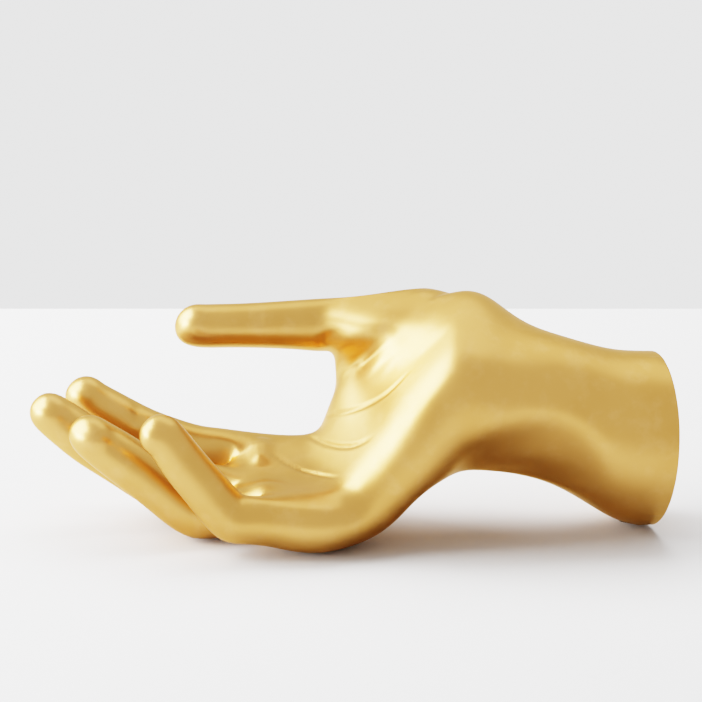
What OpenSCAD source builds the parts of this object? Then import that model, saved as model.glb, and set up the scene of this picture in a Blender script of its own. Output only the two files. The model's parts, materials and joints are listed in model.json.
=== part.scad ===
// Slip-cast ceramic hand, lying palm up on its knuckles and on the cut end of the wrist.
// The skin is a subdivision surface. Rings of points set out the forearm, the palm, four
// fingers and the thumb. They are joined into one closed cage of four-sided faces, and the
// cage is refined twice, which rounds every web, pad and fingertip without a seam.
// Frame: +X from the fingertips to the wrist, +Y from the little finger to the thumb, +Z up.

/* [Casting] */
// Thickness of the ceramic wall around the cavity
wall = 5; // [4:0.5:7]
// How often the cage is refined
refinements = 2; // [1:1:2]

/* [Wrist] */
// Distance from the origin to the middle of the cut end, which stretches the palm with it
cut_x = 118; // [110:1:126]
// Turn of the cut away from the near side, in degrees
cut_turn = 13; // [4:1:18]
// Lean of the cut towards the palm side, in degrees
cut_lean = 3; // [0:1:6]
// Height of the forearm at the cut
end_height = 69; // [64:1:74]
// Width of the forearm at the cut
end_width = 62; // [56:1:68]
// Thickness of the ceramic rim left around the closing disc
rim = 3; // [2.5:0.25:3.5]
// Thickness of the closing disc
disc_depth = 3.5; // [2.5:0.5:6]
// Width of the air hole through the closing disc
vent = 3.5; // [2:0.5:3.5]

/* [Palm] */
// Width of the palm across the knuckles
palm_width = 75; // [70:1:80]
// Height of the ball of the thumb above the ground
palm_height = 90; // [85:1:95]

/* [Fingers] */
// Length of the little finger from its knuckle
little_length = 85; // [75:1:92]
// Length of the ring finger from its knuckle
ring_length = 103; // [94:1:110]
// Length of the middle finger from its knuckle
middle_length = 109; // [100:1:116]
// Length of the index finger from its knuckle
index_length = 102; // [92:1:108]
// Width of the middle finger at its root
finger_width = 20; // [17:0.5:22]
// Extra rise of every finger bone, in degrees
extra_curl = 0; // [-4:1:8]

/* [Thumb] */
// Reach of the thumb from the origin to its tip
thumb_reach = 68; // [58:1:74]
// Width of the thumb at its middle
thumb_width = 19; // [16:0.5:21]

/* [Felt] */
// Thickness of the felt discs that the hand stands on
felt_depth = 1.2; // [0.8:0.2:2]
// Width of the felt discs
felt_width = 9; // [6:0.5:11]

/* [Hidden] */

// Colours of the satin gold skin and the felt
gold = [0.83, 0.66, 0.33];
felt = [0.2, 0.18, 0.16];

// Vector helpers
function unit(v) = v / norm(v);
function blend(a, b, t) = a + t * (b - a);
function total(list, i = 0) = i < len(list) ? list[i] + total(list, i + 1) : [0, 0, 0];
function mean(list) = total(list) / len(list);

// The places typed below are those of a hand whose cut, palm and height are as drawn
drawn = [118, 75, 90];
stretch = [cut_x / drawn.x, palm_width / drawn.y, palm_height / drawn.z];
function place(p) = [p.x * stretch.x, p.y * stretch.y, p.z * stretch.z];

// A closed ring of n points about a centre. The gain makes up for what refinement takes off.
function gain(n) = 6 / (4 + 2 * cos(360 / n));
function oval(centre, side, up, n) = [for (k = [0:n - 1])
    let (angle = 180 - 360 / n * (k + 1))
    centre + gain(n) * (cos(angle) * side + sin(angle) * up)];

// Refinement pulls a ring towards its neighbours. This pushes each ring out by as much first.
function sharpen(rings) = [for (r = [0:len(rings) - 1])
    r == 0 || r == len(rings) - 1 ? rings[r] :
        rings[r] + (2 * rings[r] - rings[r - 1] - rings[r + 1]) / 6];

// Fingers: [knuckle, spread, rise of each bone, length of each bone, widths]. The widths are
// at the root, at the two joints and at the tip.
function finger(knuckle, spread, rises, length, shares, widths) = [
    place(knuckle),
    spread,
    rises + extra_curl * [1, 1, 1],
    length * shares / (shares * [1, 1, 1]),
    finger_width * widths,
];
little = finger([-10, -29.5, 12.5], -4, [5, 51, 56], little_length, [36, 25, 24],
    [1.1, 1, 0.88, 0.78]);
ring = finger([-14, -12, 11], 0, [0, 39, 36], ring_length, [47, 31, 25],
    [1, 1.03, 0.98, 0.85]);
middle = finger([-25, 9, 10.1], 0, [6, 33, 38], middle_length, [51, 31, 27],
    [1, 1, 0.95, 0.85]);
index = finger([-17, 31, 19.5], 2, [4, 20, 31], index_length, [45, 24, 33],
    [1, 1, 0.95, 0.85]);
fingers = [little, ring, middle, index];
finger_flatness = 0.96;

function direction(spread, rise) =
    [-cos(rise) * cos(spread), cos(rise) * sin(spread), sin(rise)];
function bone(finger, i) = direction(finger[1], finger[2][i]);
function joint(finger, i) =
    i == 0 ? finger[0] : joint(finger, i - 1) + finger[3][i - 1] * bone(finger, i - 1);

// A station on a finger: [centre, forward, width], on a bone or at the joint between two
function on_bone(finger, i, share) = [
    joint(finger, i) + share * finger[3][i] * bone(finger, i),
    bone(finger, i),
    blend(finger[4][i], finger[4][i + 1], share),
];
function at_joint(finger, i) =
    [joint(finger, i), unit(bone(finger, i - 1) + bone(finger, i)), finger[4][i]];
function stations(finger) = [
    on_bone(finger, 0, 0.78),
    at_joint(finger, 1),
    on_bone(finger, 1, 0.5),
    at_joint(finger, 2),
    on_bone(finger, 2, 0.45),
    on_bone(finger, 2, 0.84),
    on_bone(finger, 2, 1),
];
swell = [1, 1.02, 0.98, 1.02, 1, 0.92, 0.57];
function station_ring(finger, station, swell) =
    let (
        side = [sin(finger[1]), cos(finger[1]), 0],
        up = cross(side, station[1]) * finger_flatness,
        radius = station[2] / 2 * swell
    )
    oval(station[0], side * radius, up * radius, 6);
function finger_rings(finger) = sharpen([for (i = [0:len(swell) - 1])
    station_ring(finger, stations(finger)[i], swell[i])]);

// A row across all four fingers at a share of the way along their first bones.
// Twelve outer points, as on the palm rings, and then the three points between the fingers.
function row(share, swell, web_back = 0) =
    let (
        six = [for (f = fingers) station_ring(f, on_bone(f, 0, share), swell)],
        top = [six[0][0], for (i = [1:3]) mean([six[i - 1][1], six[i][0]]), six[3][1]],
        bottom = [six[0][4], for (i = [1:3]) mean([six[i - 1][3], six[i][4]]), six[3][3]],
        webs = [for (i = [1:3]) mean([six[i - 1][2], six[i][5]]) + [web_back, 0, 0]]
    )
    concat([six[0][5]], top, [six[3][2]], [for (i = [4:-1:0]) bottom[i]], webs);
knuckle_row = row(0, 1.12);
web_row = row(0.5, 1.02, 3);

// A palm or forearm section runs from a near to a far edge point. It is an ellipse when square
// is 0 and a slab with five even columns when it is 1. It leans back by the lean at each edge.
// Cup sinks its middle below the two edges, and brow brings its far top out over the palm,
// where the thumb's muscle swells.
// Sections from the knuckles to beyond the cut: [near, far, leans, depths, cup, square, brow]
sections = [
    palm_section([6, -34, 15], [-8, 41, 29], [34, 22], [27, 27], 3, 0.8, 2),
    palm_section([19, -34, 28], [-3, 40, 42], [34, 24], [29, 27], 3, 0.7, 8),
    palm_section([31, -33, 42], [14, 38, 53], [22, 18], [40, 43], 4, 0.5, 16),
    palm_section([43, -29, 51], [42, 40, 65], [4, 2], [54, 66], 3, 0.5, 2),
    palm_section([58, -26, 46], [60, 37, 59], [0, 0], [51, 63], 0, 0.4, 0),
    palm_section([79, -22, 45], [79, 31, 50], [0, 0], [58, 60], 0, 0.1, 0),
    palm_section([97, -22, 37], [97, 35, 41], [0, 0], [65, 65], 0, 0, 0),
    end_section(cut_x - 6, 9, end_height / 2),
    end_section(cut_x + 18, 12, end_height / 2),
];
function palm_section(near, far, leans, depths, cup, square, brow) =
    [place(near), place(far), leans, depths * stretch.z, cup * stretch.z, square, brow];
function end_section(x, y, z) = [
    [x, y - end_width / 2, z - 1],
    [x, y + end_width / 2, z + 1],
    [0, 0], [end_height, end_height], 0, 0, 0,
];
function palm_ring(section, inset = 0) =
    let (
        inward = unit(section[1] - section[0]) * inset,
        near = section[0] + inward,
        far = section[1] - inward,
        half = (far - near) / 2 * gain(12),
        tilt = asin(half.z / norm(half)),
        square = section[5],
        brow = inset == 0 ? section[6] * [0, -1, 0.5] : [0, 0, 0],
        point = function (angle)
            let (
                column = angle > 0 ? (90 - angle) / 75 : (90 + angle) / 75,
                edge = abs(cos(angle)) > 0.99,
                u = edge ? cos(angle) : blend(cos(angle), column, square),
                v = edge ? 0 : blend(sin(angle), sign(sin(angle)), square),
                lean = blend(section[2][0], section[2][1], (u + 1) / 2),
                up = [-sin(lean), -sin(tilt) * cos(lean), cos(tilt) * cos(lean)],
                depth = blend(section[3][0], section[3][1], (u + 1) / 2) - 2 * inset
            )
            (near + far) / 2 + half * u
                + up * (v * depth / 2 * gain(12) - section[4] * (1 - u * u))
    )
    [for (i = [0:11])
        point(i <= 6 ? 180 - 30 * i : 30 * (6 - i))
            + (i == 5 ? brow : i == 4 ? brow / 2 : [0, 0, 0])];

// Thumb sections: the ball of the thumb, and then shares of the way along the thumb itself
thumb_start_at = place([-5, 33, 74.5]);
thumb_tip_at = [-thumb_reach, 27 * stretch.y, 75 * stretch.z];
function thumb_bone_ring(share, height, width) =
    oval(
        blend(thumb_start_at, thumb_tip_at, share),
        unit([0.35 * max(0, 1 - 4 * share), 0, 1]) * thumb_width * height / 2,
        thumb_width * width / 2 * [0, -1, 0.1],
        8);
thumb_rings = sharpen([
    oval(place([16, 36, 78]), place([25.4, 0, 11.9]), place([0, -10, 3]), 8),
    thumb_bone_ring(0, 1.42, 1.21),
    thumb_bone_ring(0.24, 1.08, 1.05),
    thumb_bone_ring(0.49, 0.97, 1),
    thumb_bone_ring(0.71, 0.92, 1),
    thumb_bone_ring(0.89, 0.9, 0.95),
    thumb_bone_ring(1, 0.58, 0.63),
]);

// Numbering of the cage's points: body rings, webs, fingers, thumb
around = 12;
body_rings = sharpen(concat(
    [[for (i = [0:around - 1]) web_row[i]], [for (i = [0:around - 1]) knuckle_row[i]]],
    [for (s = sections) palm_ring(s)]));
webs = [for (i = [around:around + 2]) web_row[i]];
web_start = len(body_rings) * around;
finger_start = web_start + len(webs);
thumb_start = finger_start + len(fingers) * len(swell) * 6;
function body_index(r, i) = r * around + i;
function finger_index(f, r) = [for (i = [0:5]) finger_start + 6 * (f * len(swell) + r) + i];
function thumb_index(r) = [for (i = [0:7]) thumb_start + 8 * r + i];

// A finger grows out of six points of the first body ring and its webs. The thumb grows out
// of a patch on the far side of the palm, from the fourth body ring to the sixth.
patch = [3, 5];
function finger_root(f) = [
    body_index(0, 1 + f),
    body_index(0, 2 + f),
    f == 3 ? body_index(0, 6) : web_start + f,
    body_index(0, 10 - f),
    body_index(0, 11 - f),
    f == 0 ? body_index(0, 0) : web_start + f - 1,
];
thumb_root = [
    body_index(3, 5), body_index(4, 5), body_index(5, 5), body_index(5, 6),
    body_index(5, 7), body_index(4, 7), body_index(3, 7), body_index(3, 6),
];
function in_patch(r, i) = r >= patch[0] && r < patch[1] && (i == 5 || i == 6);

// Faces between two rings of point numbers, over the end of one, and along a whole tube
function band(a, b) = [for (i = [0:len(a) - 1])
    let (j = (i + 1) % len(a))
    [a[i], a[j], b[j], b[i]]];
function cap(ring) = [for (j = [0:len(ring) / 2 - 2])
    [ring[(len(ring) - j) % len(ring)], ring[1 + j], ring[2 + j], ring[len(ring) - j - 1]]];
function tube(rings) = concat(
    [for (r = [0:len(rings) - 2]) each band(rings[r], rings[r + 1])],
    cap(rings[len(rings) - 1]));
function flipped(faces) = [for (f = faces) [f[3], f[2], f[1], f[0]]];

function body_index_ring(r) = [for (i = [0:around - 1]) body_index(r, i)];
body_faces = [for (r = [0:len(body_rings) - 2])
    let (faces = band(body_index_ring(r + 1), body_index_ring(r)))
    for (i = [0:around - 1]) if (!in_patch(r, i)) faces[i]];
hand_points = concat(
    [for (r = body_rings) each r],
    webs,
    [for (f = fingers) each [for (r = finger_rings(f)) each r]],
    [for (r = thumb_rings) each r]);
hand_faces = concat(
    body_faces,
    flipped(cap(body_index_ring(len(body_rings) - 1))),
    [for (f = [0:3])
        each tube([finger_root(f), for (r = [0:len(swell) - 1]) finger_index(f, r)])],
    tube([thumb_root, for (r = [0:len(thumb_rings) - 1]) thumb_index(r)]));

// The cavity is a plain tube of inset palm sections, closed over at the knuckles
cavity_points = [for (r = sharpen([for (s = sections) palm_ring(s, wall)])) each r];
cavity_faces = concat(
    cap(body_index_ring(0)),
    flipped(tube([for (r = [0:len(sections) - 1]) body_index_ring(r)])));

// One pass of Catmull-Clark refinement on a closed mesh of four-sided faces.
// Half-edge h runs along side h % 4 of face floor(h / 4). Unused points stay where they are.
function refine(mesh) =
    let (
        points = mesh[0],
        faces = mesh[1],
        starts = [for (f = faces) each f],
        ends = [for (f = faces) each [f[1], f[2], f[3], f[0]]],
        last = len(starts) - 1,
        middles = [for (f = faces) mean([for (v = f) points[v]])],
        leaving = [for (v = [0:len(points) - 1]) search(v, starts, 0)],
        twin = [for (h = [0:last]) [for (g = leaving[ends[h]]) if (ends[g] == starts[h]) g][0]],
        rank = [for (h = 0, c = 0; h <= last; c = c + (h < twin[h] ? 1 : 0), h = h + 1) c],
        edge_points = [for (h = [0:last]) if (h < twin[h]) mean([
            points[starts[h]], points[ends[h]],
            middles[floor(h / 4)], middles[floor(twin[h] / 4)]])],
        moved = [for (v = [0:len(points) - 1])
            let (
                out = leaving[v],
                k = len(out),
                face_mean = mean([for (h = out) middles[floor(h / 4)]]),
                edge_mean = mean([for (h = out) (points[v] + points[ends[h]]) / 2])
            )
            k == 0 ? points[v] : (face_mean + 2 * edge_mean + (k - 3) * points[v]) / k],
        edge_at = function (h) len(points) + rank[min(h, twin[h])],
        middle_at = function (f) len(points) + len(edge_points) + f
    )
    [
        concat(moved, edge_points, middles),
        [for (f = [0:len(faces) - 1], k = [0:3])
            [faces[f][k], edge_at(4 * f + k), middle_at(f), edge_at(4 * f + (k + 3) % 4)]],
    ];
function refined(mesh, times) = times == 0 ? mesh : refined(refine(mesh), times - 1);

// The ball of the thumb is worked over once the cage has been refined. Each pass draws a point
// towards the mean of its neighbours, and then the ball is raised to its full height.
ball_eased = [place([14, 26, 74]), 42 * stretch.x];
ball_raised = [place([35, 24, 86]), 36 * stretch.x];
ball_lift = place([0, 1, 6]);
function neighbours(mesh) =
    let (
        starts = [for (f = mesh[1]) each f],
        ends = [for (f = mesh[1]) each [f[1], f[2], f[3], f[0]]]
    )
    [for (v = [0:len(mesh[0]) - 1]) [for (h = search(v, starts, 0)) ends[h]]];
function nearness(p, spot) = max(0, 1 - norm(p - spot[0]) / spot[1]);
function eased(points, near, spot, passes) = passes == 0 ? points :
    eased(
        [for (v = [0:len(points) - 1])
            let (pull = near[v] == [] ? 0 : nearness(points[v], spot))
            pull == 0 ? points[v] : blend(points[v], mean([for (n = near[v]) points[n]]), pull)],
        near, spot, passes - 1);
function raised(points, spot, lift) = [for (p = points)
    let (t = nearness(p, spot))
    p + pow(t * (2 - t), 2) * lift];
function with_ball(mesh) =
    [raised(eased(mesh[0], neighbours(mesh), ball_eased, 6), ball_raised, ball_lift), mesh[1]];

// Every piece is set out on the hand's own lines and then shifted to centre it on the origin
centring = place([0, -0.5, 0]);

module skin(mesh) {
    triangles = [for (f = mesh[1]) each [[f[2], f[1], f[0]], [f[3], f[2], f[0]]]];
    translate(centring) polyhedron(mesh[0], triangles);
}

// Puts a piece on the cut, with +X out along the forearm
module at_cut() {
    translate([cut_x, 10, end_height / 2] + centring) rotate([0, cut_lean, cut_turn]) children();
}

// An oval plate that reaches inwards from the cut
disc_clearance = 0.25;
module disc_plate(depth, clearance = 0) {
    width = end_width / cos(cut_turn) - 2 * rim + 2 * clearance;
    height = end_height - 2 * rim + 2 * clearance;
    rotate([0, -90, 0]) scale([height / width, 1, 1]) cylinder(d = width, h = depth, $fn = 96);
}

// A hair taken off everything beyond a face, so that no two cuts share a plane
margin = 1;
reach = 2 * cut_x;

module hand_shell() {
    color(gold) difference() {
        skin(refined(with_ball(refine([hand_points, hand_faces])), refinements - 1));
        skin(refine([cavity_points, cavity_faces]));
        at_cut() translate([0, -reach / 2, -reach / 2]) cube(reach);
        at_cut() translate([margin, 0, 0]) disc_plate(disc_depth + margin, disc_clearance);
        translate([-reach, -reach, felt_depth - reach]) cube([2 * reach, 2 * reach, reach]);
    }
}

module wrist_disc() {
    color(gold) at_cut() difference() {
        disc_plate(disc_depth);
        translate([margin, 0, 0]) rotate([0, -90, 0])
            cylinder(d = vent, h = disc_depth + 2 * margin, $fn = 32);
    }
}

// A felt disc under one of the three flats that are ground on the skin
module felt_pad(at) {
    color(felt) translate(at + centring) cylinder(d = felt_width, h = felt_depth, $fn = 48);
}

module pad_little_knuckle() {
    felt_pad(place([-20, -23, 0]));
}

module pad_middle_knuckle() {
    felt_pad(place([-31, 3, 0]));
}

module pad_wrist() {
    felt_pad([cut_x - 8, 12, 0]);
}

hand_shell();
wrist_disc();
pad_little_knuckle();
pad_middle_knuckle();
pad_wrist();
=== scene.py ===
"""A ceramic hand, lying palm up in satin gold, on a pale floor in soft light.

The hand's own skin is copied from the frame, rounded, worked over as a sculptor would and
dressed in its finish. The closing disc is copied from the frame too, with its edges softened,
and the felt discs under the hand are modelled afresh.
"""

import json
import logging
import math
from dataclasses import dataclass
from typing import Any, NamedTuple

import bmesh
import bpy
import numpy as np
from mathutils import Matrix, Vector

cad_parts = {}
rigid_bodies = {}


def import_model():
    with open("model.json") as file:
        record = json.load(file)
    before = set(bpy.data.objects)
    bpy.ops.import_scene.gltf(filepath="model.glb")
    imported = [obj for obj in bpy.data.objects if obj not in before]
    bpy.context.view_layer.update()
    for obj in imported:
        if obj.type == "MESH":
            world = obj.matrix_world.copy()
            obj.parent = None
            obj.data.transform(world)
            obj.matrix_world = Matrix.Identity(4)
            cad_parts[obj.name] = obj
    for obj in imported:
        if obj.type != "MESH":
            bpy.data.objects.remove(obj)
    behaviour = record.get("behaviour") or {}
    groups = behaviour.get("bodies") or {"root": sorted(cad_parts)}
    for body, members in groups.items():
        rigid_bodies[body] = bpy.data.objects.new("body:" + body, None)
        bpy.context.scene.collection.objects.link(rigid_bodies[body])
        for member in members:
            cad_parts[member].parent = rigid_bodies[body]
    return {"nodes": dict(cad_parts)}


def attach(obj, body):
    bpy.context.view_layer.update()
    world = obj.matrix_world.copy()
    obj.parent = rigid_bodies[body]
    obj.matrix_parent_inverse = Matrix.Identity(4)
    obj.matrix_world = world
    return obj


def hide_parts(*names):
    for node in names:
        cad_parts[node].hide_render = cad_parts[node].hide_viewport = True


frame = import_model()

log = logging.getLogger("hand")
Triple = tuple[float, float, float]
Span = tuple[float, float]
MM = 0.001
# Rise of the camera above the floor, in degrees
CAMERA_RISE = 14.5
# Points of a CAD node that lie closer than this are one, in metres
MERGED = 0.01 * MM
# Most that two triangles may turn from each other, and their shapes differ, to make one face
# with four sides, in radians
QUAD_TURN, QUAD_SHAPE = 0.7, 1.2
# Least length that anything is divided by, in metres
HAIR = 0.001 * MM


class Sock:
    """A shader socket that takes part in Python arithmetic by adding Math nodes."""

    def __init__(self, sheet: "Sheet", socket: bpy.types.NodeSocket) -> None:
        """Wraps one output socket of a sheet."""
        self.sheet = sheet
        self.socket = socket

    def _math(self, operation: str, *values: Any) -> "Sock":
        """Adds one Math node.

        Args:
            operation: The node's operation.
            *values: Its inputs in order, each a number or a Sock.

        Returns:
            The node's output.
        """
        sockets = dict(enumerate(values))
        return self.sheet.node("ShaderNodeMath", {"operation": operation}, sockets)

    def __add__(self, other: Any) -> "Sock":
        """Adds a number or a Sock."""
        return self._math("ADD", self, other)

    __radd__ = __add__

    def __mul__(self, other: Any) -> "Sock":
        """Multiplies by a number or a Sock."""
        return self._math("MULTIPLY", self, other)

    __rmul__ = __mul__


@dataclass(frozen=True)
class Pattern:
    """A noise pattern: its repeats a metre, its finer layers and how strong they are."""

    scale: float
    layers: float
    strength: float


class Sheet:
    """A node tree that is filled in code.

    The sockets of a Mix and of a Map Range node are given by number, as some share a name.
    """

    def __init__(self, tree: bpy.types.NodeTree) -> None:
        """Empties a node tree to fill it afresh."""
        self.tree = tree
        self.tree.nodes.clear()

    def node(
        self,
        kind: str,
        settings: dict[str, Any] | None = None,
        sockets: dict[int | str, Any] | None = None,
        output: int | str = 0,
    ) -> Sock:
        """Adds a node, sets it up and fills its sockets.

        Args:
            kind: The node's type.
            settings: Properties that are set first.
            sockets: Values or Socks for the input sockets, by index or name.
            output: The output to hand back.

        Returns:
            The chosen output.
        """
        node = self.tree.nodes.new(kind)
        for key, value in (settings or {}).items():
            setattr(node, key, value)
        for key, value in (sockets or {}).items():
            if isinstance(value, Sock):
                self.tree.links.new(value.socket, node.inputs[key])
            else:
                node.inputs[key].default_value = value
        return Sock(self, node.outputs[output])

    def mixed_values(self, share: Sock, a: Sock | float, b: Sock | float) -> Sock:
        """Mixes two plain values.

        Args:
            share: How much of the second value there is.
            a: The first value.
            b: The second value.

        Returns:
            The mixed value.
        """
        return self.node("ShaderNodeMix", {"data_type": "FLOAT"}, {0: share, 2: a, 3: b})

    def end(self, kind: str, shader: Sock) -> None:
        """Links a shader to the tree's output.

        Args:
            kind: The output node's type.
            shader: The shader.
        """
        out = self.tree.nodes.new(kind)
        self.tree.links.new(shader.socket, out.inputs["Surface"])


class Paint(Sheet):
    """One material's node tree."""

    def __init__(self, name: str) -> None:
        """Starts an empty material under a name."""
        self.material = bpy.data.materials.new(name)
        self.material.use_nodes = True
        super().__init__(self.material.node_tree)

    def coordinates(self, scale: Triple = (1, 1, 1), turn: Triple = (0, 0, 0)) -> Sock:
        """Object coordinates, stretched and turned.

        Args:
            scale: Scale along each axis.
            turn: Turn about each axis in radians.

        Returns:
            The coordinates as a vector.
        """
        place = self.node("ShaderNodeTexCoord", output="Object")
        return self.node(
            "ShaderNodeMapping", None, {"Vector": place, "Scale": scale, "Rotation": turn}
        )

    def noise(self, vector: Sock, pattern: Pattern) -> Sock:
        """Lays a noise pattern.

        Args:
            vector: Where it is read.
            pattern: How fine and how rough it is.

        Returns:
            The pattern as a number from 0 to 1.
        """
        sockets = {
            "Vector": vector,
            "Scale": pattern.scale,
            "Detail": pattern.layers,
            "Roughness": pattern.strength,
        }
        return self.node("ShaderNodeTexNoise", None, sockets)

    def share(self, value: Sock, span: Span, most: float) -> Sock:
        """Turns a value into a share that rises smoothly across a span.

        Args:
            value: The value.
            span: The values at which the share starts to rise and stops.
            most: The share at the end.

        Returns:
            The share.
        """
        settings = {"interpolation_type": "SMOOTHSTEP"}
        sockets = {0: value, 1: span[0], 2: span[1], 3: 0.0, 4: most}
        return self.node("ShaderNodeMapRange", settings, sockets)

    def mixed(self, share: Sock, a: Sock | Triple, b: Triple) -> Sock:
        """Mixes two colours.

        Args:
            share: How much of the second colour there is.
            a: The first colour.
            b: The second colour.

        Returns:
            The mixed colour.
        """
        first = a if isinstance(a, Sock) else (*a, 1)
        sockets = {0: share, 6: first, 7: (*b, 1)}
        return self.node("ShaderNodeMix", {"data_type": "RGBA"}, sockets, output=2)

    def bump(self, height: Sock, depth: float, strength: float) -> Sock:
        """A bump that follows a height.

        Args:
            height: The height from 0 to 1.
            depth: How deep the whole range is, in metres.
            strength: How strongly it shows.

        Returns:
            The bent normal.
        """
        sockets = {"Height": height, "Distance": depth, "Strength": strength}
        return self.node("ShaderNodeBump", None, sockets)

    def finish(self, **sockets: Any) -> bpy.types.Material:
        """Ends the tree in one shader.

        Args:
            **sockets: The shader's inputs, with underscores for spaces.

        Returns:
            The material.
        """
        named = {key.replace("_", " "): value for key, value in sockets.items()}
        shader = self.node("ShaderNodeBsdfPrincipled", None, named)
        self.end("ShaderNodeOutputMaterial", shader)
        return self.material


@dataclass(frozen=True)
class SatinGold:
    """Gold lacquer over the fired clay, rubbed down to a satin.

    Clouds warm the gold and patches make it paler, each across a span of its pattern and by
    a share at most. The brush's strokes and the grain make the relief, in millimetres.
    """

    gold: Triple = (0.52, 0.268, 0.078)
    warm: Triple = (0.46, 0.228, 0.058)
    pale: Triple = (0.58, 0.312, 0.108)
    clouds: Pattern = Pattern(38.0, 2, 0.5)
    patches: Pattern = Pattern(130.0, 3, 0.6)
    strokes: Pattern = Pattern(1500.0, 2, 0.55)
    grain: Pattern = Pattern(2600.0, 1, 0.5)
    warm_span: Span = (0.35, 0.65)
    warm_most: float = 0.6
    pale_span: Span = (0.45, 0.75)
    pale_most: float = 0.45
    brush_scale: Triple = (0.12, 1, 1)
    brush_turn: float = 8.0
    sheen_low: float = 0.32
    sheen_high: float = 0.40
    edge: Triple = (0.95, 0.80, 0.52)
    coat: float = 0.18
    coat_roughness: float = 0.30
    relief: float = 0.02
    relief_strength: float = 0.5

    def make(self, name: str) -> bpy.types.Material:
        """Builds the finish.

        Args:
            name: The material's name.

        Returns:
            The material.
        """
        paint = Paint(name)
        place = paint.coordinates()
        turn = (0, math.radians(self.brush_turn), 0)
        brushed = paint.coordinates(scale=self.brush_scale, turn=turn)
        patches = paint.noise(place, self.patches)
        strokes = paint.noise(brushed, self.strokes)
        grain = paint.noise(place, self.grain)
        warmth = paint.share(paint.noise(place, self.clouds), self.warm_span, self.warm_most)
        paleness = paint.share(patches, self.pale_span, self.pale_most)
        colour = paint.mixed(warmth, self.gold, self.warm)
        uneven = 0.6 * patches + 0.4 * strokes
        height = 0.7 * strokes + 0.3 * grain
        return paint.finish(
            Base_Color=paint.mixed(paleness, colour, self.pale),
            Metallic=1.0,
            Roughness=self.sheen_low + (self.sheen_high - self.sheen_low) * uneven,
            Specular_Tint=(*self.edge, 1),
            Coat_Weight=self.coat,
            Coat_Roughness=self.coat_roughness,
            Normal=paint.bump(height, self.relief * MM, self.relief_strength),
        )


@dataclass(frozen=True)
class Felt:
    """Pressed dark felt, with light fibres over clumps and a relief in millimetres."""

    shade: Triple = (0.045, 0.038, 0.032)
    light: Triple = (0.11, 0.095, 0.08)
    fibres: Pattern = Pattern(1800.0, 4, 0.7)
    clumps: Pattern = Pattern(420.0, 2, 0.5)
    lit_span: Span = (0.35, 0.7)
    roughness: float = 0.86
    roughness_spread: float = 0.1
    relief: float = 0.3
    relief_strength: float = 0.8

    def make(self, name: str) -> bpy.types.Material:
        """Builds the finish.

        Args:
            name: The material's name.

        Returns:
            The material.
        """
        paint = Paint(name)
        place = paint.coordinates()
        fibres = paint.noise(place, self.fibres)
        clumps = paint.noise(place, self.clumps)
        lit = paint.share(fibres, self.lit_span, 1.0)
        height = 0.6 * fibres + 0.4 * clumps
        return paint.finish(
            Base_Color=paint.mixed(lit, self.shade, self.light),
            Roughness=self.roughness + self.roughness_spread * clumps,
            Normal=paint.bump(height, self.relief * MM, self.relief_strength),
        )


@dataclass(frozen=True)
class Panel:
    """A soft lamp that the camera doesn't see, in metres and watts."""

    name: str
    at: Triple
    towards: Triple
    size: Span
    power: float
    tint: Triple = (1, 1, 1)
    reflected: bool = True

    def hang(self) -> None:
        """Hangs the lamp."""
        data = bpy.data.lights.new(self.name, "AREA")
        data.shape = "RECTANGLE"
        data.size, data.size_y = self.size
        data.energy = self.power
        data.color = self.tint
        lamp = bpy.data.objects.new(self.name, data)
        lamp.location = self.at
        turn = (Vector(self.towards) - Vector(self.at)).to_track_quat("-Z", "Y")
        lamp.rotation_euler = turn.to_euler()
        lamp.visible_camera = False
        lamp.visible_glossy = self.reflected
        bpy.context.scene.collection.objects.link(lamp)


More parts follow.
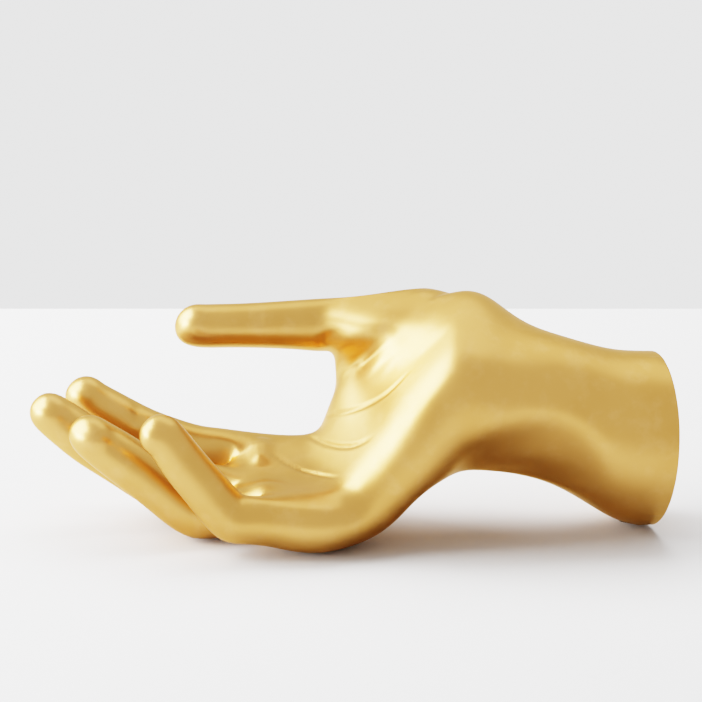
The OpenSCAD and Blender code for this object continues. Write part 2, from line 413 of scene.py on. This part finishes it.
@dataclass(frozen=True)
class Studio:
    """A pale floor, the soft light over it and the camera, in metres.

    The room is as bright as the wall where the camera sees it, as bright as the fill where
    it lights shadows, and as bright as room in reflections.
    """

    aim: Triple = (0.0, -0.0005, 0.072)
    rise: float = CAMERA_RISE
    distance: float = 1.0
    focal_pixels: float = 2600.0
    picture: float = 702.0
    sensor: float = 36.0
    sight: float = 20.0
    floor_back: float = 0.367
    floor_front: float = -2.5
    floor_side: float = 2.5
    floor_squares: int = 8
    floor_dark: Triple = (0.72, 0.72, 0.73)
    floor_light: Triple = (0.75, 0.75, 0.76)
    floor_clouds: Pattern = Pattern(6.0, 3, 0.6)
    floor_roughness: float = 0.7
    room: float = 0.60
    fill: float = 0.16
    wall: float = 0.74
    air: Triple = (0.995, 0.998, 1.0)
    exposure: float = 0.95
    panels: tuple[Panel, ...] = (
        Panel("window", (-1.46, 0.32, 0.90), (0.0, 0, 0.04), (1.7, 1.5), 56, (1, 1, 0.99)),
        Panel("ceiling", (0.2, 0.55, 1.25), (0.0, 0, 0.04), (1.5, 0.9), 2.5),
        Panel("above", (-0.1, 0.6, 1.0), (0.0, 0, 0), (1.0, 0.8), 9, reflected=False),
        Panel("bay", (-1.4, -0.30, 0.25), (0.0, 0, 0.05), (0.8, 0.4), 10, (1, 1, 0.99)),
    )

    def camera(self) -> None:
        """Adds the camera at the photograph's angle."""
        data = bpy.data.cameras.new("camera")
        data.sensor_width = self.sensor
        data.lens = self.sensor * self.focal_pixels / self.picture
        data.clip_end = self.sight
        rise = math.radians(self.rise)
        camera = bpy.data.objects.new("camera", data)
        out = Vector((0, -math.cos(rise), math.sin(rise)))
        camera.location = Vector(self.aim) + out * self.distance
        camera.rotation_euler = (-out).to_track_quat("-Z", "Y").to_euler()
        bpy.context.scene.collection.objects.link(camera)
        bpy.context.scene.camera = camera

    def floor(self) -> None:
        """Lays the floor."""
        clear()
        squares = self.floor_squares
        bpy.ops.mesh.primitive_grid_add(x_subdivisions=squares, y_subdivisions=squares, size=1)
        floor = bpy.context.object
        floor.name = "floor"
        deep = self.floor_back - self.floor_front
        middle = (self.floor_back + self.floor_front) / 2
        floor.data.transform(
            Matrix.Translation((0, middle, 0)) @ Matrix.Diagonal((2 * self.floor_side, deep, 1, 1))
        )
        paint = Paint("floor_paint")
        tint = paint.noise(paint.coordinates(), self.floor_clouds)
        colour = paint.mixed(tint, self.floor_dark, self.floor_light)
        finish = paint.finish(Base_Color=colour, Roughness=self.floor_roughness)
        floor.data.materials.append(finish)

    def lights(self) -> None:
        """Hangs the lamps, lights the room and sets how the picture is developed."""
        for panel in self.panels:
            panel.hang()
        world = bpy.data.worlds.new("room")
        bpy.context.scene.world = world
        world.use_nodes = True
        sheet = Sheet(world.node_tree)
        level: Sock | float = self.room
        for kind, value in (("Is Diffuse Ray", self.fill), ("Is Camera Ray", self.wall)):
            seen = sheet.node("ShaderNodeLightPath", output=kind)
            level = sheet.mixed_values(seen, level, value)
        sockets = {"Color": (*self.air, 1), "Strength": level}
        sheet.end("ShaderNodeOutputWorld", sheet.node("ShaderNodeBackground", None, sockets))
        look = bpy.context.scene.view_settings
        look.view_transform = "Filmic"
        look.look = "High Contrast"
        look.exposure = self.exposure


def clear() -> None:
    """Deselects everything, so that the next operator acts on its own piece alone."""
    for thing in bpy.context.view_layer.objects:
        thing.select_set(False)


def pick(piece: bpy.types.Object) -> None:
    """Selects one piece and makes it active."""
    clear()
    piece.select_set(True)
    bpy.context.view_layer.objects.active = piece


def apply_modifier(piece: bpy.types.Object, kind: str, **settings: Any) -> None:
    """Adds a modifier and applies it.

    Args:
        piece: The piece.
        kind: The modifier's type.
        **settings: Its settings.
    """
    pick(piece)
    modifier = piece.modifiers.new(kind.lower(), kind)
    for key, value in settings.items():
        setattr(modifier, key, value)
    bpy.ops.object.modifier_apply(modifier=modifier.name)


def copy_of(node: str, name: str) -> bpy.types.Object:
    """Copies a CAD node, with its loose triangles merged and paired back into quads.

    Args:
        node: The node's name.
        name: The copy's name.

    Returns:
        The copy, at the origin.
    """
    source = frame["nodes"][node]
    mesh = source.data.copy()
    mesh.transform(source.matrix_world)
    piece = bpy.data.objects.new(name, mesh)
    piece.data.name = name
    bpy.context.scene.collection.objects.link(piece)
    pick(piece)
    bpy.ops.object.mode_set(mode="EDIT")
    bpy.ops.mesh.select_all(action="SELECT")
    bpy.ops.mesh.remove_doubles(threshold=MERGED)
    bpy.ops.mesh.tris_convert_to_quads(face_threshold=QUAD_TURN, shape_threshold=QUAD_SHAPE)
    bpy.ops.object.mode_set(mode="OBJECT")
    return piece


def softened(share: np.ndarray) -> np.ndarray:
    """Gives an even rise from 0 to 1 soft ends."""
    return share * share * (3 - 2 * share)


class Skin:
    """A mesh's points in metres, the pairs of them that are joined and the way each faces."""

    def __init__(self, mesh: bpy.types.Mesh) -> None:
        """Reads a mesh."""
        self.mesh = mesh
        places = np.empty(3 * len(mesh.vertices))
        mesh.vertices.foreach_get("co", places)
        facing = np.empty(3 * len(mesh.vertices))
        mesh.vertex_normals.foreach_get("vector", facing)
        edges = np.empty(2 * len(mesh.edges), dtype=np.int32)
        mesh.edges.foreach_get("vertices", edges)
        self.places, self.facing = places.reshape(-1, 3), facing.reshape(-1, 3)
        self.edges = edges.reshape(-1, 2)

    def even(self, share: np.ndarray, passes: int) -> None:
        """Draws points towards the middle of their neighbours.

        Args:
            share: How far each point is drawn in one pass, from 0 to 1.
            passes: How often it is done.
        """
        one, two = self.edges.T
        number = len(self.places)
        count = np.bincount(self.edges.ravel(), minlength=number)[:, None]
        for _ in range(passes):
            sums = [
                np.bincount(one, self.places[two, i], number)
                + np.bincount(two, self.places[one, i], number)
                for i in range(3)
            ]
            missing = np.stack(sums, 1) / count - self.places
            self.places = self.places + missing * share[:, None]

    def settle(self) -> None:
        """Puts the worked points back into the mesh."""
        self.mesh.vertices.foreach_set("co", self.places.ravel())
        self.mesh.update()


@dataclass(frozen=True)
class Stroke:
    """One stroke of the sculptor's tool along the skin, in millimetres.

    A positive depth cuts a groove and a negative one lays a ridge. The lip is the share of
    the depth that stands up along both sides, lip_place widths from the path. The stroke
    fades in and out over the share of its length that ends gives, and is felt for reach
    widths. Between two points of its path it has a number of steps.
    """

    path: tuple[Triple, ...]
    width: float
    depth: float
    lip: float
    ends: float
    lip_place: float = 1.9
    reach: float = 4.0
    steps: int = 16

    def line(self) -> np.ndarray:
        """Runs one smooth curve, a Catmull-Rom spline, through the path.

        Returns:
            Points along the curve, in metres.
        """
        knots = np.array([self.path[0], *self.path, self.path[-1]]) * MM
        steps = np.linspace(0, 1, self.steps, endpoint=False)[:, None]
        runs = []
        for a, b, c, d in zip(knots, knots[1:], knots[2:], knots[3:]):
            bend = 2 * a - 5 * b + 4 * c - d, 3 * b - a - 3 * c + d
            run = 2 * b + (c - a) * steps + bend[0] * steps**2 + bend[1] * steps**3
            runs.append(run / 2)
        return np.concatenate([*runs, knots[-1:]])

    def lift(self, places: np.ndarray) -> np.ndarray:
        """Works out how far the stroke moves each point of the skin.

        Args:
            places: The skin's points, in metres.

        Returns:
            The move outwards at each point, in metres.
        """
        line = self.line()
        reach = self.reach * self.width * MM
        low, high = line.min(axis=0) - reach, line.max(axis=0) + reach
        near = np.flatnonzero(np.all((places > low) & (places < high), axis=1))
        gaps = np.linalg.norm(places[near, None] - line[None], axis=2)
        nearest = gaps.argmin(axis=1)
        gap = gaps[np.arange(len(near)), nearest] / (self.width * MM)
        along = nearest / (len(line) - 1)
        fade = softened(np.clip(np.minimum(along, 1 - along) / self.ends, 0, 1))
        shape = -np.exp(-(gap**2)) + self.lip * np.exp(-((gap - self.lip_place) ** 2))
        move = np.zeros(len(places))
        move[near] = shape * fade * self.depth * MM
        return move


@dataclass(frozen=True)
class Touch:
    """A broad touch of the sculptor's thumb, in millimetres, that evens the skin and lifts it."""

    middle: Triple
    reach: Triple
    passes: int
    lift: Triple = (0, 0, 0)

    def apply(self, skin: Skin) -> None:
        """Works the skin.

        Args:
            skin: The skin.
        """
        away = (skin.places / MM - self.middle) / self.reach
        share = softened(np.clip(1 - (away**2).sum(axis=1), 0, 1))
        skin.even(share, self.passes)
        skin.places = skin.places + share[:, None] * np.array(self.lift) * MM


class Row(NamedTuple):
    """One level of a filled hollow, in millimetres.

    It has its height in the camera's picture, the skin's depth towards the camera at the
    left and at the right edge, and how much it swells between them: 1 is straight and less
    is fuller.
    """

    height: float
    left: float
    right: float
    swell: float


@dataclass(frozen=True)
class Fill:
    """Clay laid over a hollow until it swells evenly between two edges, in millimetres.

    Skin that lacks up to the first depth of most gets all that it lacks, and skin that
    lacks more than the second gets none. Skin gets less the further it faces away from the
    camera, by a slope and a bias. Each round is smoothed, the more the thicker the clay,
    up to the strongest share where it is full thick, and none of it above top. The
    smoothing sets in over fade below that.
    """

    left: float
    right: float
    rows: tuple[Row, ...]
    rise: float = CAMERA_RISE
    most: Span = (16.0, 22.0)
    slope: float = 3.0
    bias: float = 0.7
    top: float = 91.0
    fade: float = 4.0
    full: float = 2.0
    strongest: float = 0.8
    rounds: int = 6
    passes: int = 2
    last_passes: int = 3

    def apply(self, skin: Skin) -> None:
        """Fills the hollow.

        Args:
            skin: The skin.
        """
        rise = math.radians(self.rise)
        out = np.array((0, -math.cos(rise), math.sin(rise)))
        up = np.array((0, math.sin(rise), math.cos(rise)))
        levels, *sides = np.array(self.rows).T
        shown = np.clip(self.slope * (skin.facing @ out) + self.bias, 0, 1)
        worked = np.zeros(len(skin.places))
        for _ in range(self.rounds):
            height = skin.places @ up / MM
            along = (skin.places[:, 0] / MM - self.left) / (self.right - self.left)
            start, stop, swell = (np.interp(height, levels, side) for side in sides)
            wanted = start + (stop - start) * np.clip(along, 0, 1) ** swell
            missing = wanted - skin.places @ out / MM
            inside = (along > 0) & (along < 1) & (height > levels[0]) & (height < levels[-1])
            share = (self.most[1] - missing) / (self.most[1] - self.most[0])
            move = np.maximum(missing, 0) * np.clip(share, 0, 1) * shown * inside
            skin.places = skin.places + out * move[:, None] * MM
            below = np.clip((self.top - height) / self.fade, 0, 1)
            worked = np.maximum(worked, move * below)
            skin.even(self.smoothing(worked), self.passes)
        skin.even(self.smoothing(worked), self.last_passes)

    def smoothing(self, worked: np.ndarray) -> np.ndarray:
        """Finds how strongly each point is smoothed, from how far it was moved."""
        return np.clip(worked / self.full, 0, self.strongest)


@dataclass(frozen=True)
class Tip:
    """A fingertip that is turned into a dome without making the finger shorter.

    The tip lies near a point, and is the skin that hangs together within span reaches of
    it. It points from the middle of what lies beyond the root's share of the reach to the
    middle of what lies within the end's share. The dome has a length, and stands on the
    ring of points within band of its foot, in millimetres. A fullness of 2 is round, and
    more is blunter. The dome takes over within blend of its length, and nothing is pushed
    out by more than 1 over least.
    """

    near: Triple
    reach: float = 15.0
    length: float = 10.0
    fullness: float = 2.3
    span: float = 1.3
    end: float = 0.5
    root: float = 0.7
    band: float = 1.6
    blend: float = 0.5
    least: float = 0.2
    spreads: int = 40

    def joined(self, near: np.ndarray, start: int, edges: np.ndarray) -> np.ndarray:
        """Finds the points that hang together with one point.

        Args:
            near: Which points may be taken.
            start: The first point.
            edges: The pairs of points that are joined.

        Returns:
            Which points are taken.
        """
        one, two = edges.T
        taken = np.zeros(len(near), dtype=bool)
        taken[start] = True
        for _ in range(self.spreads):
            taken[one[taken[two]]] = True
            taken[two[taken[one]]] = True
            taken &= near
        return taken

    def apply(self, skin: Skin) -> None:
        """Rounds the tip.

        Args:
            skin: The skin.
        """
        places = skin.places
        gap = np.linalg.norm(places - np.array(self.near) * MM, axis=1) / (self.reach * MM)
        taken = self.joined(gap < self.span, int(gap.argmin()), skin.edges)
        end, root = places[taken & (gap < self.end)], places[taken & (gap > self.root)]
        along = end.mean(axis=0) - root.mean(axis=0)
        along /= np.linalg.norm(along)
        length = self.length * MM
        foot = (places[taken] @ along).max() - length
        ring = places[taken & (np.abs(places @ along - foot) < self.band * MM)]
        middle = ring.mean(axis=0)
        middle = middle + along * (foot - middle @ along)
        flat = (ring - middle) - np.outer((ring - middle) @ along, along)
        spread, ways = np.linalg.eigh(flat.T @ flat / len(flat))
        away = places - middle
        ahead = away @ along / length
        width = np.linalg.norm((away @ ways[:, 1:]) / np.sqrt(2 * spread[1:]), axis=1)
        size = np.maximum(ahead, 0) ** self.fullness + width**self.fullness
        size = size ** (1 / self.fullness)
        share = softened(np.clip(ahead / self.blend, 0, 1) * taken)
        skin.places = places + away * ((1 / np.maximum(size, self.least) - 1) * share)[:, None]


# The little, the ring, the middle and the first finger, and the thumb
TIPS = (
    Tip((-77, -36, 52.5)),
    Tip((-103, -18, 46)),
    Tip((-121, 5, 50)),
    Tip((-109, 31, 50)),
    Tip((-65, 24, 79)),
)
# Broad work on the skin, in the order in which it is done. A touch has its middle, its reach
# along each axis, its number of passes and its lift
TOUCHES = (
    # the thumb's ball, filled between the thumb and the palm
    Fill(
        left=-10,
        right=41,
        rows=(
            Row(66, -18, 36, 0.75), Row(71, -9.5, 34, 0.75), Row(75.5, -4.6, 29.5, 0.76),
            Row(79.5, -2.2, 25.5, 0.78), Row(84, -1.9, 21, 0.82), Row(88, -3.9, 15, 0.9),
            Row(92, -7, 7, 1), Row(96, -14, -3, 1),
        ),
    ),
    # the top of the thumb's ball
    Touch((35, 24, 88.5), (10, 9, 6), 6, (0, 0, 1.6)),
    # the gap between the first two fingers
    Touch((-51, 17, 24), (12, 7.5, 7), 10, (0, 0, -2.6)),
    Touch((-44, 12, 22), (9, 9, 7), 30, (0, 0, -1.2)),
    # the roots of the fingers
    Touch((-44, -8, 21), (11, 15, 7), 20),
    Touch((-45, -16, 22), (10, 10, 8), 24, (0, 0, 0.6)),
    Touch((-38, -24, 22.5), (9, 9, 7), 24, (0, 0, 0.4)),
    Touch((-44, 0, 22), (10, 9, 6), 24),
    Touch((-33, -14, 22.5), (5.5, 6, 6), 2, (0, 0, 2.2)),
    # the edge of the palm by the little finger
    Touch((-15, -31, 23), (28, 7, 7), 10, (0, 0, 0.4)),
    # the wrist's side below the heel of the hand
    Touch((68, -20, 30), (33, 15, 27), 0, (0, 5.4, 0)),
    # the heel itself
    Touch((46, -27, 54), (14, 9, 18), 0, (0, -1.0, 0)),
)
# Fine work on the skin once it has been refined
STROKES = (
    # the crease round the thumb's ball
    Stroke(
        (
            (-10.5, 30, 37.5), (-9, 24, 39.2), (-6.3, 16.6, 41.9), (-1.2, 7.8, 45.3),
            (5.4, -0.3, 50), (12.3, -6.3, 55.6), (18, -8.6, 61.4), (22.5, -8.6, 66.6),
        ),
        width=0.7, depth=0.6, lip=0.1, ends=0.25,
    ),
    # the crease across the middle of the palm
    Stroke(
        (
            (-18, 31, 28.2), (-15.5, 25.9, 29.4), (-9.8, 11.1, 31.3), (-2.3, -4.2, 34.6),
            (3.4, -13.1, 38.5), (8.8, -18.4, 43.2),
        ),
        width=0.75, depth=0.75, lip=0.1, ends=0.3,
    ),
    # the crease below the fingers
    Stroke(
        (
            (-31, 19, 25.6), (-29.2, 15.7, 25), (-25.6, 9.9, 23.8), (-19.9, 2.5, 23.2),
            (-14, -4.9, 23.9), (-8.1, -13.6, 25.4), (-4.2, -19.5, 26.8),
        ),
        width=0.8, depth=0.85, lip=0.15, ends=0.3,
    ),
    # the ridge at the roots of the first and the middle finger
    Stroke(
        ((-35, 31, 28.6), (-35.5, 22, 26.6), (-35.5, 14, 24.8), (-34.5, 6, 23.4)),
        width=3.8, depth=-2.4, lip=0, ends=0.35,
    ),
    # the joint of the first finger, on the palm's side
    Stroke(
        ((-84.6, 35, 41.8), (-84.8, 30, 41), (-84.9, 26, 38.6), (-85.2, 23.6, 34)),
        width=2.6, depth=0.55, lip=0, ends=0.3,
    ),
    # the joint of the thumb
    Stroke(
        ((-35.5, 22, 84), (-35.8, 20.5, 80), (-35.5, 21, 75)),
        width=1.2, depth=0.35, lip=0.2, ends=0.4,
    ),
)


@dataclass
class Piece:
    """A piece of the object, which stands for one CAD node."""

    node: str
    slot: str

    def build(self) -> bpy.types.Object:
        """Models the piece, in each kind's own way."""
        raise NotImplementedError

    def dress(self, piece: bpy.types.Object, finish: bpy.types.Material) -> None:
        """Gives the piece its finish and its place in the frame.

        Args:
            piece: The modelled piece.
            finish: Its material.
        """
        piece.data.materials.clear()
        piece.data.materials.append(finish)
        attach(piece, "root")
        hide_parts(self.node)
        log.info("%s: %d faces", piece.name, len(piece.data.polygons))


class Cut:
    """The cut end of the wrist, on which points are found by their bearing round its middle."""

    def __init__(self, facing: np.ndarray, rim: np.ndarray) -> None:
        """Sets the cut out from the way it faces and the points of its outer edge."""
        self.facing = facing
        self.middle = rim.mean(axis=0)
        side = np.cross(facing, (0, 0, 1))
        self.side = side / np.linalg.norm(side)
        self.upright = np.cross(self.side, facing)

    def bearing(self, points: np.ndarray) -> np.ndarray:
        """Finds the bearing of points, in radians."""
        away = points - self.middle
        return np.arctan2(away @ self.upright, away @ self.side)

    def on_edge(self, edge: np.ndarray, angles: np.ndarray) -> np.ndarray:
        """Finds where an edge of the cut lies at some bearings.

        Args:
            edge: The edge's points.
            angles: The bearings, in radians.

        Returns:
            The edge's place at each bearing.
        """
        turns = self.bearing(edge)
        order = np.argsort(turns)
        turns, ring = turns[order], edge[order]
        return np.stack(
            [np.interp(angles, turns, ring[:, i], period=2 * math.pi) for i in range(3)], 1
        )


@dataclass
class Casting(Piece):
    """The hollow casting: forearm, palm, fingers and thumb in one skin.

    The cut faces along its normal. The rows within trimmed millimetres of it are taken
    away, and new ones are laid at the rounding's depths and then at shares of the way
    across the cut's face. What lies within level of the cut is its face. The ground is the
    height of the flats over the felt. A fold is an edge that stays sharp, in degrees.
    """

    node: str = "hand_shell"
    slot: str = "gold_ceramic"
    normal: Triple = (0.9730, 0.2246, -0.0523)
    trimmed: float = 3.2
    rounding: tuple[float, ...] = (2.0, 0.9, 0.0)
    rim_shares: tuple[float, ...] = (0.38, 0.88)
    level: float = 0.05
    ground: float = 1.2
    fold: float = 50.0
    refinements: int = 2
    tips: tuple[Tip, ...] = TIPS
    touches: tuple[Touch | Fill, ...] = TOUCHES
    strokes: tuple[Stroke, ...] = STROKES

    def build(self) -> bpy.types.Object:
        """Models the casting.

        Returns:
            The finished piece.
        """
        hand = copy_of(self.node, "hand_casting")
        lining, rim, seat = self.take_apart(hand)
        self.model(hand)
        self.round_rim(hand, rim, seat)
        levels = self.refinements
        apply_modifier(hand, "SUBSURF", levels=levels, render_levels=levels)
        self.sculpt(hand)
        self.close(hand, lining)
        return hand

    def across(self, place: Vector) -> float:
        """Measures how far a point lies along the cut's own direction."""
        return place.dot(Vector(self.normal).normalized())

    def outer_faces(self, skin: bmesh.types.BMesh) -> set[bmesh.types.BMFace]:
        """Finds the outer skin, which spreads from a fingertip and ends at the cut's fold.

        Args:
            skin: The whole shell.

        Returns:
            The outer skin's faces.
        """
        tip = min(skin.verts, key=lambda v: v.co.x)
        outer = {tip.link_faces[0]}
        queue = list(outer)
        while queue:
            for edge in queue.pop().edges:
                if edge.calc_face_angle(0) < math.radians(self.fold):
                    fresh = set(edge.link_faces) - outer
                    outer |= fresh
                    queue += fresh
        return outer

    def take_apart(
        self, hand: bpy.types.Object
    ) -> tuple[bpy.types.Object, np.ndarray, np.ndarray]:
        """Parts the outer skin from the lining and takes away the uneven rows at the cut.

        Args:
            hand: The copied shell, which is left with the outer skin alone.

        Returns:
            The lining as a piece of its own, the points of the rim's outer edge and those
            of its inner edge.
        """
        skin = bmesh.new()
        skin.from_mesh(hand.data)
        skin.faces.ensure_lookup_table()
        outer = self.outer_faces(skin)
        edges = {e for f in outer for e in f.edges if not outer.issuperset(e.link_faces)}
        rim = {v for e in edges for v in e.verts}
        far = max(self.across(v.co) for v in rim)
        below = {v: far - self.across(v.co) for v in skin.verts}
        flat = {
            f
            for f in skin.faces
            if f not in outer and all(below[v] < self.level * MM for v in f.verts)
        }
        near = {f for f in outer if any(below[v] < self.trimmed * MM for v in f.verts)}
        inner = {v for f in flat for v in f.verts} - rim
        marks = [
            np.array([v.co[:] for v in sorted(edge, key=lambda v: v.index)])
            for edge in (rim, inner)
        ]
        kept = outer - near
        for face in skin.faces:
            face.select_set(face in kept)
        bmesh.ops.delete(skin, geom=list(flat | near), context="FACES")
        skin.select_flush_mode()
        skin.to_mesh(hand.data)
        skin.free()
        pick(hand)
        bpy.ops.object.mode_set(mode="EDIT")
        bpy.ops.mesh.select_mode(type="FACE")
        bpy.ops.mesh.select_all(action="INVERT")
        bpy.ops.mesh.separate(type="SELECTED")
        bpy.ops.object.mode_set(mode="OBJECT")
        lining = next(o for o in bpy.context.selected_objects if o != hand)
        lining.name = "lining"
        return lining, *marks

    def round_rim(self, hand: bpy.types.Object, rim: np.ndarray, seat: np.ndarray) -> None:
        """Extrudes the trimmed skin back to the cut, round its edge and across its face.

        Args:
            hand: The outer skin.
            rim: Points of the cut's outer edge.
            seat: Points of the edge where the closing disc is let in.
        """
        cut = Cut(np.array(self.normal) / np.linalg.norm(self.normal), rim)
        skin = bmesh.new()
        skin.from_mesh(hand.data)
        edges = [e for e in skin.edges if e.is_boundary]
        for step, depth in enumerate((*self.rounding, *self.rim_shares)):
            grown = bmesh.ops.extrude_edge_only(skin, edges=edges)["geom"]
            fresh = [g for g in grown if isinstance(g, bmesh.types.BMVert)]
            edges = [g for g in grown if isinstance(g, bmesh.types.BMEdge) and g.is_boundary]
            places = np.array([v.co[:] for v in fresh])
            outer = cut.on_edge(rim, cut.bearing(places))
            if step < len(self.rounding):
                left = (outer - places) @ cut.facing
                share = 1 - depth * MM / np.maximum(left, HAIR)
                places = places + (outer - places) * np.clip(share, 0, 1)[:, None]
            else:
                inner = cut.on_edge(seat, cut.bearing(places))
                places = outer + (inner - outer) * depth
            for vert, place in zip(fresh, places):
                vert.co = place
        skin.to_mesh(hand.data)
        skin.free()

    def model(self, hand: bpy.types.Object) -> None:
        """Works the broad forms: fingertips, finger roots, the thumb's ball and the heel.

        Args:
            hand: The outer skin, not yet refined.
        """
        skin = Skin(hand.data)
        for work in (*self.tips, *self.touches):
            work.apply(skin)
        skin.settle()

    def sculpt(self, hand: bpy.types.Object) -> None:
        """Works the creases, folds and pads into the skin.

        Args:
            hand: The outer skin, already refined.
        """
        skin = Skin(hand.data)
        move = sum(stroke.lift(skin.places) for stroke in self.strokes)
        skin.places = skin.places + skin.facing * move[:, None]
        skin.places[:, 2] = np.maximum(skin.places[:, 2], self.ground * MM)
        skin.settle()

    def close(self, hand: bpy.types.Object, lining: bpy.types.Object) -> None:
        """Joins the lining to the outer skin again.

        Args:
            hand: The outer skin, which becomes the whole shell.
            lining: The seat of the closing disc and the cavity's walls.
        """
        pick(hand)
        lining.select_set(True)
        bpy.ops.object.join()
        bpy.ops.object.mode_set(mode="EDIT")
        bpy.ops.mesh.select_mode(type="EDGE")
        bpy.ops.mesh.select_all(action="DESELECT")
        bpy.ops.mesh.select_non_manifold()
        bpy.ops.mesh.bridge_edge_loops()
        bpy.ops.mesh.select_all(action="SELECT")
        bpy.ops.mesh.normals_make_consistent(inside=False)
        bpy.ops.object.mode_set(mode="OBJECT")
        bpy.ops.object.shade_smooth_by_angle(angle=math.radians(self.fold))


@dataclass
class ClosingDisc(Piece):
    """The disc of the same clay that closes the wrist, with its vent, in mm and degrees."""

    node: str = "wrist_disc"
    slot: str = "gold_ceramic_disc"
    bevel: float = 0.35
    segments: int = 3
    sharp: float = 40.0
    even: float = 2.0

    def build(self) -> bpy.types.Object:
        """Models the disc with softened edges.

        Returns:
            The finished piece.
        """
        disc = copy_of(self.node, "closing_disc")
        bpy.ops.object.mode_set(mode="EDIT")
        bpy.ops.mesh.select_mode(type="EDGE")
        bpy.ops.mesh.select_all(action="SELECT")
        bpy.ops.mesh.dissolve_limited(angle_limit=math.radians(self.even))
        bpy.ops.mesh.select_all(action="DESELECT")
        bpy.ops.mesh.edges_select_sharp(sharpness=math.radians(self.sharp))
        bpy.ops.mesh.bevel(offset=self.bevel * MM, segments=self.segments, clamp_overlap=True)
        bpy.ops.mesh.select_all(action="SELECT")
        bpy.ops.mesh.normals_make_consistent(inside=False)
        bpy.ops.object.mode_set(mode="OBJECT")
        bpy.ops.object.shade_smooth_by_angle(angle=math.radians(self.sharp))
        return disc


@dataclass
class FeltDisc(Piece):
    """A thin disc of pressed felt under the hand, in millimetres and degrees.

    Its rings are insets of its faces. Its edge is pressed in by a share of the radius,
    which waves round it: each wave has a size, a number of turns and a start in radians.
    """

    slot: str = "felt"
    radius: float = 4.5
    thickness: float = 1.2
    sides: int = 64
    bevel: float = 0.22
    segments: int = 3
    sharp: float = 40.0
    smooth: float = 60.0
    rings: tuple[float, ...] = (0.9, 1.1, 1.1)
    press: float = 0.006
    waves: tuple[Triple, ...] = ((0.004, 5, 1), (0.003, 11, 0))

    def build(self) -> bpy.types.Object:
        """Models the disc where the frame has it.

        Returns:
            The finished piece.
        """
        source = frame["nodes"][self.node]
        corners = np.array([source.matrix_world @ v.co for v in source.data.vertices])
        middle = (corners.min(axis=0) + corners.max(axis=0)) / 2
        clear()
        bpy.ops.mesh.primitive_cylinder_add(
            vertices=self.sides,
            radius=self.radius * MM,
            depth=self.thickness * MM,
            location=(middle[0], middle[1], self.thickness * MM / 2),
        )
        disc = bpy.context.object
        disc.name = disc.data.name = self.node.replace("pad", "felt")
        bpy.ops.object.transform_apply(location=True, rotation=True, scale=True)
        bpy.ops.object.mode_set(mode="EDIT")
        bpy.ops.mesh.select_mode(type="EDGE")
        bpy.ops.mesh.select_all(action="DESELECT")
        bpy.ops.mesh.edges_select_sharp(sharpness=math.radians(self.sharp))
        bpy.ops.mesh.bevel(offset=self.bevel * MM, segments=self.segments)
        bpy.ops.mesh.select_mode(type="FACE")
        bpy.ops.mesh.select_all(action="DESELECT")
        bpy.ops.mesh.select_face_by_sides(number=4, type="GREATER")
        for ring in self.rings:
            bpy.ops.mesh.inset(thickness=ring * MM)
        bpy.ops.object.mode_set(mode="OBJECT")
        self.wear(disc)
        bpy.ops.object.shade_smooth_by_angle(angle=math.radians(self.smooth))
        return disc

    def wear(self, disc: bpy.types.Object) -> None:
        """Presses the felt's edge in a little, unevenly.

        Args:
            disc: The disc.
        """
        middle = sum((v.co for v in disc.data.vertices), Vector()) / len(disc.data.vertices)
        for vert in disc.data.vertices:
            turn = math.atan2(vert.co.y - middle.y, vert.co.x - middle.x)
            press = self.press
            for size, turns, start in self.waves:
                press += size * math.sin(turns * turn + start)
            vert.co.xy -= (vert.co.xy - middle.xy) * press


def main() -> None:
    """Builds every piece, dresses it and sets the scene."""
    logging.basicConfig(level=logging.INFO, format="%(message)s")
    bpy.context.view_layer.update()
    gold, felt = SatinGold(), Felt().make("felt")
    pieces = (
        (Casting(), gold.make("gold_on_casting")),
        (ClosingDisc(), gold.make("gold_on_disc")),
        (FeltDisc("pad_little_knuckle"), felt),
        (FeltDisc("pad_middle_knuckle"), felt),
        (FeltDisc("pad_wrist"), felt),
    )
    for piece, finish in pieces:
        piece.dress(piece.build(), finish)
    studio = Studio()
    studio.floor()
    studio.lights()
    studio.camera()


if __name__ == "__main__":
    main()
